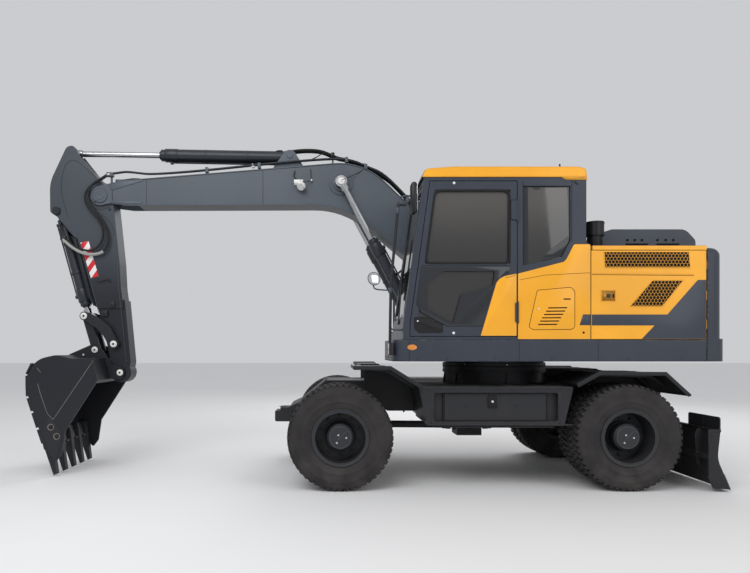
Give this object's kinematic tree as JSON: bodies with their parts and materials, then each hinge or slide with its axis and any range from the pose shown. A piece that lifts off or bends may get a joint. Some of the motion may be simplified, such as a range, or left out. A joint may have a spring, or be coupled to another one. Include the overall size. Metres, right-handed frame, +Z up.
{
  "type": "wheeled excavator",
  "caption": "Road-going wheeled excavator with a cranked one-piece boom, backhoe bucket, slewing cab, twin tyres and a rear levelling blade.",
  "frame": {"origin": "on the ground, under the slewing axis", "axes": "+X forwards, towards the bucket; +Y to the driver's left; +Z up"},
  "size_m": [7.4532, 2.513, 3.7203],
  "materials": {
    "slate_paint": "semi-gloss slate grey paint",
    "amber_paint": "semi-gloss yellow-orange paint",
    "chassis_paint": "satin near-black paint",
    "tyre": "matt",
    "cast_steel": "rough cast, painted dark",
    "chrome_rod": "polished hard chrome",
    "smoked_glass": "smoked",
    "black_plastic": "matt moulded",
    "cloth": "woven",
    "mirror_head": "matt moulded"
  },
  "bodies": {
    "chassis": {"chassis_frame": "chassis_paint", "slew_bearing": "chassis_paint", "front_fenders": "chassis_paint", "rear_fenders": "chassis_paint", "left_toolbox": "chassis_paint", "right_toolbox": "chassis_paint", "front_axle": "chassis_paint", "rear_axle": "chassis_paint", "driveline": "chassis_paint"},
    "left_toolbox_lid": {"left_toolbox_door": "chassis_paint"},
    "right_toolbox_lid": {"right_toolbox_door": "chassis_paint"},
    "left_steering": {"left_knuckle": "chassis_paint"},
    "right_steering": {"right_knuckle": "chassis_paint"},
    "tie_rod": {"tie_rod": "chassis_paint"},
    "front_left_wheel": {"front_left_tyres": "tyre", "front_left_rims": "chassis_paint"},
    "front_right_wheel": {"front_right_tyres": "tyre", "front_right_rims": "chassis_paint"},
    "rear_left_wheel": {"rear_left_tyres": "tyre", "rear_left_rims": "chassis_paint"},
    "rear_right_wheel": {"rear_right_tyres": "tyre", "rear_right_rims": "chassis_paint"},
    "blade": {"blade": "chassis_paint"},
    "blade_barrels": {"blade_barrels": "chassis_paint"},
    "blade_rods": {"blade_rods": "chrome_rod"},
    "house": {"upper_frame": "slate_paint", "counterweight": "slate_paint", "bay_frame": "slate_paint", "engine_block": "cast_steel", "cab_shell": "slate_paint", "cab_roof": "amber_paint", "cab_glass": "smoked_glass", "operator_chair": "cloth", "side_consoles": "black_plastic", "steering_column": "black_plastic", "right_tanks": "slate_paint", "step_box": "slate_paint", "precleaner": "black_plastic", "exhaust_pipe": "cast_steel", "left_handrail": "slate_paint", "right_handrail": "slate_paint", "left_mirror": "mirror_head"},
    "left_engine_door": {"left_engine_door": "amber_paint"},
    "right_engine_door": {"right_engine_door": "amber_paint"},
    "engine_hood": {"engine_hood": "slate_paint"},
    "cab_door": {"cab_door": "slate_paint", "cab_door_glass": "smoked_glass"},
    "boom": {"boom": "slate_paint", "boom_lamp": "black_plastic"},
    "boom_barrels": {"boom_barrels": "slate_paint"},
    "boom_rods": {"boom_rods": "chrome_rod"},
    "arm": {"arm": "slate_paint"},
    "arm_barrel": {"arm_barrel": "slate_paint"},
    "arm_rod": {"arm_rod": "chrome_rod"},
    "bucket_barrel": {"bucket_barrel": "slate_paint"},
    "bucket_rod": {"bucket_rod": "chrome_rod"},
    "tilt_levers": {"tilt_levers": "chassis_paint"},
    "bucket_link": {"bucket_link": "chassis_paint"},
    "bucket": {"bucket": "chassis_paint"}
  },
  "joints": [
    {"name": "steer_left", "type": "hinge", "parent": "chassis", "child": "left_steering", "pos_m": [1.79, 0.6, 0.52], "axis": [0, 0, 1], "range_deg": [-30, 30]},
    {"name": "steer_right", "type": "hinge", "parent": "chassis", "child": "right_steering", "pos_m": [1.79, -0.6, 0.52], "axis": [0, 0, 1], "range_deg": [-30, 30]},
    {"name": "tie_rod_pivot", "type": "hinge", "parent": "left_steering", "child": "tie_rod", "pos_m": [1.59, 0.6, 0.389], "axis": [0, 0, 1], "range_deg": [-30, 30]},
    {"name": "front_left_wheel_spin", "type": "hinge", "parent": "left_steering", "child": "front_left_wheel", "pos_m": [1.79, 0.975, 0.52], "axis": [0, 1, 0], "continuous": true},
    {"name": "rear_left_wheel_spin", "type": "hinge", "parent": "chassis", "child": "rear_left_wheel", "pos_m": [-1.01, 0.975, 0.52], "axis": [0, 1, 0], "continuous": true},
    {"name": "front_right_wheel_spin", "type": "hinge", "parent": "right_steering", "child": "front_right_wheel", "pos_m": [1.79, -0.975, 0.52], "axis": [0, 1, 0], "continuous": true},
    {"name": "rear_right_wheel_spin", "type": "hinge", "parent": "chassis", "child": "rear_right_wheel", "pos_m": [-1.01, -0.975, 0.52], "axis": [0, 1, 0], "continuous": true},
    {"name": "left_toolbox_lid_swing", "type": "hinge", "parent": "chassis", "child": "left_toolbox_lid", "pos_m": [0.27, 1.163, 0.946], "axis": [1, 0, 0], "range_deg": [0, 90]},
    {"name": "right_toolbox_lid_swing", "type": "hinge", "parent": "chassis", "child": "right_toolbox_lid", "pos_m": [0.27, -1.163, 0.946], "axis": [-1, 0, 0], "range_deg": [0, 90]},
    {"name": "slew", "type": "hinge", "parent": "chassis", "child": "house", "pos_m": [0, 0, 1.2], "axis": [0, 0, 1], "continuous": true},
    {"name": "cab_door_swing", "type": "hinge", "parent": "house", "child": "cab_door", "pos_m": [0.079, 1.255, 2.2], "axis": [0, 0, 1], "range_deg": [0, 100]},
    {"name": "left_engine_door_swing", "type": "hinge", "parent": "house", "child": "left_engine_door", "pos_m": [-1.743, 1.247, 1.9], "axis": [0, 0, 1], "range_deg": [0, 100]},
    {"name": "right_engine_door_swing", "type": "hinge", "parent": "house", "child": "right_engine_door", "pos_m": [-1.743, -1.247, 1.9], "axis": [0, 0, -1], "range_deg": [0, 100]},
    {"name": "engine_hood_lift", "type": "hinge", "parent": "house", "child": "engine_hood", "pos_m": [-1.87, 0, 2.4], "axis": [0, -1, 0], "range_deg": [0, 50]},
    {"name": "boom_lift", "type": "hinge", "parent": "house", "child": "boom", "pos_m": [0.09, -0.06, 1.91], "axis": [0, -1, 0], "range_deg": [-48, 36]},
    {"name": "boom_barrel_tilt", "type": "hinge", "parent": "house", "child": "boom_barrels", "pos_m": [0.79, -0.06, 1.45], "axis": [0, -1, 0], "range_deg": [-48, 36]},
    {"name": "boom_rod_slide", "type": "slide", "parent": "boom_barrels", "child": "boom_rods", "axis": [0.4691, 0, 0.8832], "range_m": [-0.64508, 0.48382]},
    {"name": "arm_swing", "type": "hinge", "parent": "boom", "child": "arm", "pos_m": [4.522, -0.06, 3.141], "axis": [0, 1, 0], "range_deg": [-92, 11]},
    {"name": "arm_barrel_tilt", "type": "hinge", "parent": "boom", "child": "arm_barrel", "pos_m": [2.351, -0.06, 3.616], "axis": [0, -1, 0], "range_deg": [-1.38, 0.17]},
    {"name": "arm_rod_slide", "type": "slide", "parent": "arm_barrel", "child": "arm_rod", "axis": [0.9998, 0, 0.0183], "range_m": [-0.87913, 0.10512]},
    {"name": "bucket_curl", "type": "hinge", "parent": "arm", "child": "bucket", "pos_m": [4.295, -0.06, 1.115], "axis": [0, 1, 0], "range_deg": [-12, 155]},
    {"name": "lever_swing", "type": "hinge", "parent": "arm", "child": "tilt_levers", "pos_m": [4.358, -0.06, 1.442], "axis": [0, 1, 0], "range_deg": [-9.78, 126.33]},
    {"name": "link_swing", "type": "hinge", "parent": "tilt_levers", "child": "bucket_link", "pos_m": [4.697, -0.06, 1.762], "axis": [0, -1, 0], "range_deg": [-7.44, 96.1]},
    {"name": "bucket_barrel_tilt", "type": "hinge", "parent": "arm", "child": "bucket_barrel", "pos_m": [5.03, -0.06, 2.969], "axis": [0, -1, 0], "range_deg": [-0.24, 3.1]},
    {"name": "bucket_rod_slide", "type": "slide", "parent": "bucket_barrel", "child": "bucket_rod", "axis": [-0.266, 0, -0.964], "range_m": [-0.06546, 0.8454]},
    {"name": "blade_lift", "type": "hinge", "parent": "chassis", "child": "blade", "pos_m": [-1.33, 0, 0.7], "axis": [0, 1, 0], "range_deg": [-8, 25]},
    {"name": "blade_barrel_tilt", "type": "hinge", "parent": "chassis", "child": "blade_barrels", "pos_m": [-1.45, 0, 0.905], "axis": [0, 1, 0], "range_deg": [-7.52, 23.5]},
    {"name": "blade_rod_slide", "type": "slide", "parent": "blade_barrels", "child": "blade_rods", "axis": [-0.7019, 0, -0.7122], "range_m": [-0.09949, 0.03184]}
  ],
  "couplings": [
    {"joint": "steer_right", "follows": "steer_left", "ratio": 1},
    {"joint": "tie_rod_pivot", "follows": "steer_left", "ratio": -1},
    {"joint": "boom_barrel_tilt", "follows": "boom_lift", "ratio": 1},
    {"joint": "boom_rod_slide", "follows": "boom_lift", "m_per_rad": 0.77},
    {"joint": "arm_barrel_tilt", "follows": "arm_swing", "ratio": 0.015},
    {"joint": "arm_rod_slide", "follows": "arm_swing", "m_per_rad": 0.5475},
    {"joint": "lever_swing", "follows": "bucket_curl", "ratio": 0.815},
    {"joint": "link_swing", "follows": "bucket_curl", "ratio": 0.62},
    {"joint": "bucket_barrel_tilt", "follows": "bucket_curl", "ratio": 0.02},
    {"joint": "bucket_rod_slide", "follows": "bucket_curl", "m_per_rad": 0.3125},
    {"joint": "blade_barrel_tilt", "follows": "blade_lift", "ratio": 0.94},
    {"joint": "blade_rod_slide", "follows": "blade_lift", "m_per_rad": -0.228}
  ]
}
